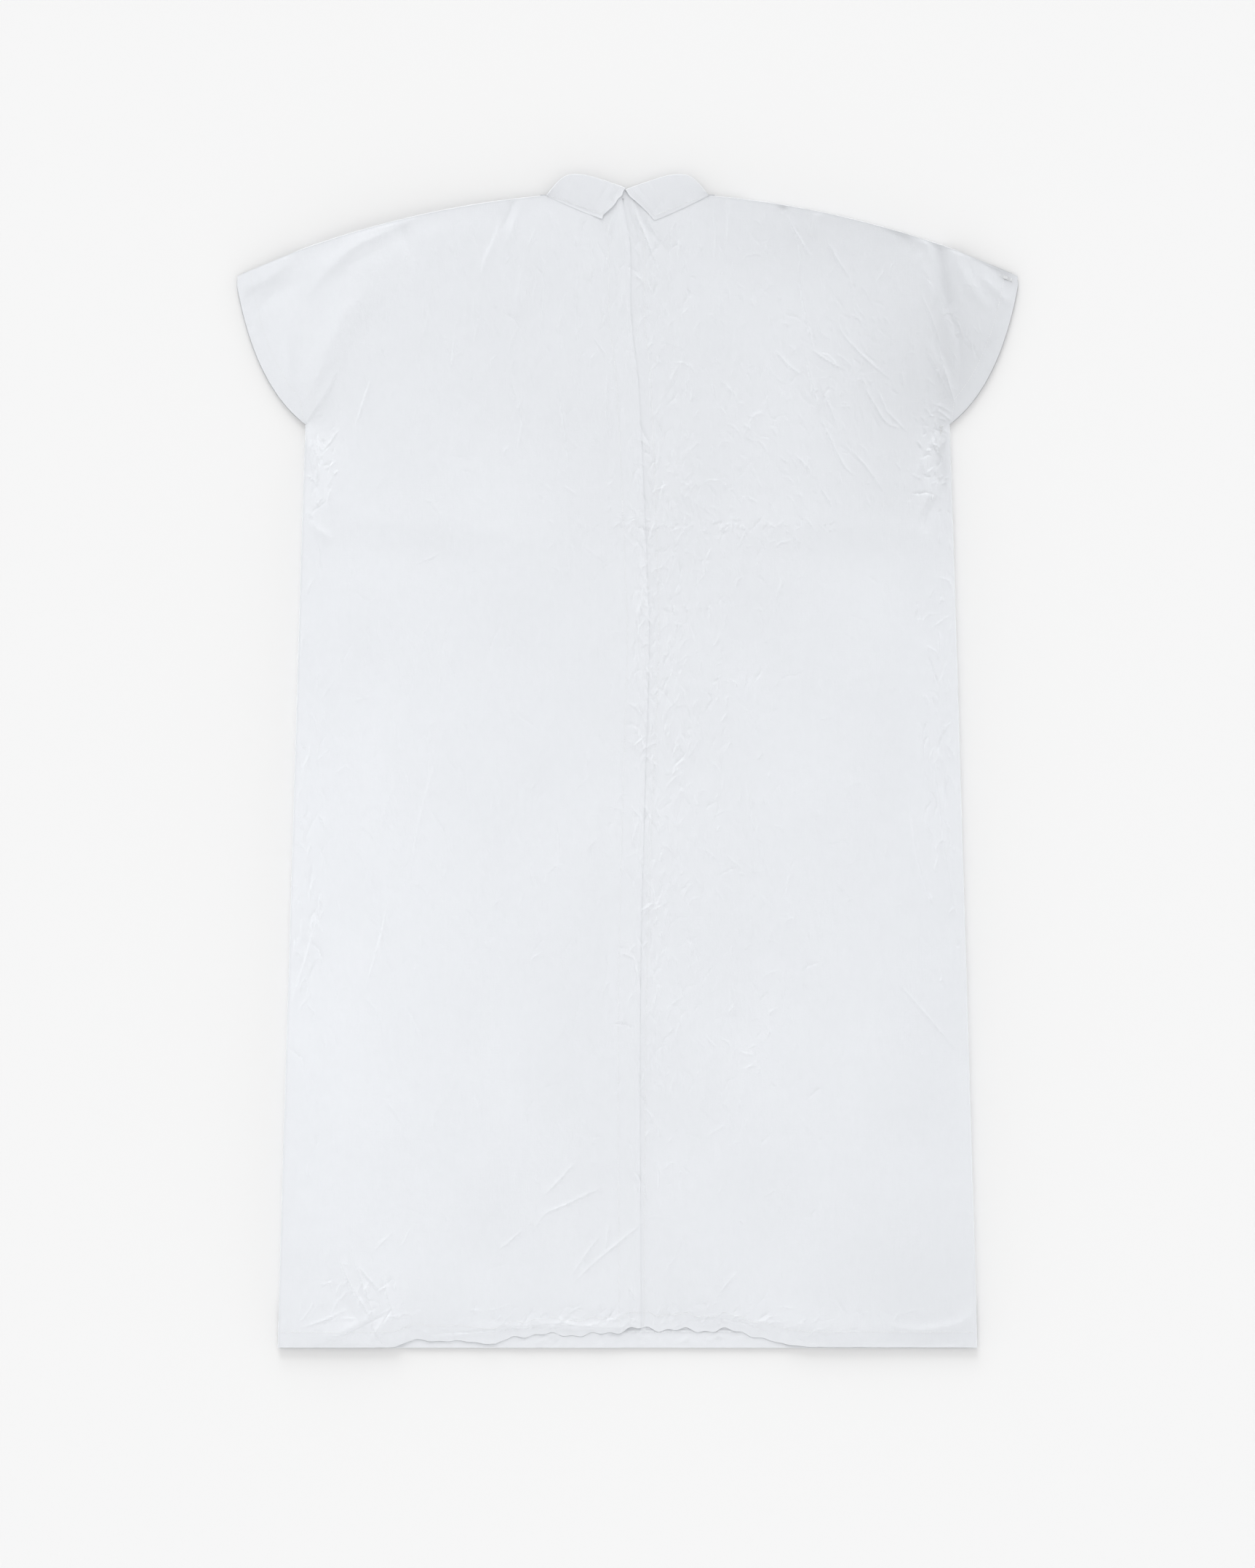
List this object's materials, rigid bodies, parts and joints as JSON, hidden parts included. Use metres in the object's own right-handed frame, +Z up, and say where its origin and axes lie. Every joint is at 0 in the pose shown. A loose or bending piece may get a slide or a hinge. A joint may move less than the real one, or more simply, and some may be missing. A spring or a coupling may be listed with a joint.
{
  "type": "patient gown",
  "caption": "Open-back patient gown with a pointed turned-down collar and short cut-on sleeves, laid flat face down with its back panels lapped and pressed shut.",
  "frame": {"origin": "centre of the bounding box at the height of the surface the gown lies on, under the front panel", "axes": "+X across the gown to the right as seen from above, +Y from the hem to the collar, +Z up from the surface through the front panel to the back panels"},
  "size_m": [0.802, 1.2, 0.0139],
  "materials": {
    "gown_cloth": "crisp plain-weave cotton, white with a slight blue cast, creased",
    "collar_cloth": "plain-weave cotton over an interlining, topstitched",
    "interlining": "thin white non-woven interlining",
    "seam_tape": "white overlocked seam allowance and binding tape",
    "stud_plastic": "white moulded press stud"
  },
  "bodies": {
    "gown": {"back_left_hem": "gown_cloth", "back_left_panel": "gown_cloth", "back_right_hem": "gown_cloth", "back_right_panel": "gown_cloth", "collar_front_interlining": "interlining", "collar_front_under": "collar_cloth", "collar_front_upper": "collar_cloth", "front_hem": "gown_cloth", "front_neck_binding": "seam_tape", "front_panel": "gown_cloth", "neckband_front": "collar_cloth", "shoulder_seam_left": "seam_tape", "shoulder_seam_right": "seam_tape", "side_seam_left": "seam_tape", "side_seam_right": "seam_tape"},
    "back_left_flap": {"back_left_flap": "gown_cloth", "back_left_flap_hem": "gown_cloth", "collar_left_interlining": "interlining", "collar_left_under": "collar_cloth", "collar_left_upper": "collar_cloth", "left_facing": "gown_cloth", "neckband_left": "collar_cloth", "stud_socket_lower": "stud_plastic", "stud_socket_middle": "stud_plastic", "stud_socket_neck": "stud_plastic", "stud_socket_upper": "stud_plastic"},
    "back_right_flap": {"back_right_flap": "gown_cloth", "back_right_flap_hem": "gown_cloth", "collar_right_interlining": "interlining", "collar_right_under": "collar_cloth", "collar_right_upper": "collar_cloth", "neckband_right": "collar_cloth", "right_facing": "gown_cloth", "stud_ball_lower": "stud_plastic", "stud_ball_middle": "stud_plastic", "stud_ball_neck": "stud_plastic", "stud_ball_upper": "stud_plastic"},
    "left_sleeve": {"back_left_sleeve": "gown_cloth", "back_left_sleeve_hem": "gown_cloth", "front_left_sleeve": "gown_cloth", "front_left_sleeve_hem": "gown_cloth", "sleeve_seam_left": "seam_tape"},
    "right_sleeve": {"back_right_sleeve": "gown_cloth", "back_right_sleeve_hem": "gown_cloth", "front_right_sleeve": "gown_cloth", "front_right_sleeve_hem": "gown_cloth", "sleeve_seam_right": "seam_tape"}
  },
  "joints": [
    {"name": "left_flap_fold", "type": "hinge", "parent": "gown", "child": "back_left_flap", "pos_m": [-0.088, 0.578, 0.01235], "axis": [-0.0652, -0.9979, 0], "range_deg": [0, 175]},
    {"name": "right_flap_fold", "type": "hinge", "parent": "gown", "child": "back_right_flap", "pos_m": [0.088, 0.578, 0.01235], "axis": [-0.0652, 0.9979, 0], "range_deg": [0, 140]},
    {"name": "left_sleeve_fold", "type": "hinge", "parent": "gown", "child": "left_sleeve", "pos_m": [-0.32915, 0.44, 0.01035], "axis": [0, 1, 0], "range_deg": [0, 175]},
    {"name": "right_sleeve_fold", "type": "hinge", "parent": "gown", "child": "right_sleeve", "pos_m": [0.32915, 0.44, 0.01035], "axis": [0, -1, 0], "range_deg": [0, 175]}
  ],
  "couplings": [
    {"joint": "right_flap_fold", "follows": "left_flap_fold", "ratio": 0.8}
  ]
}
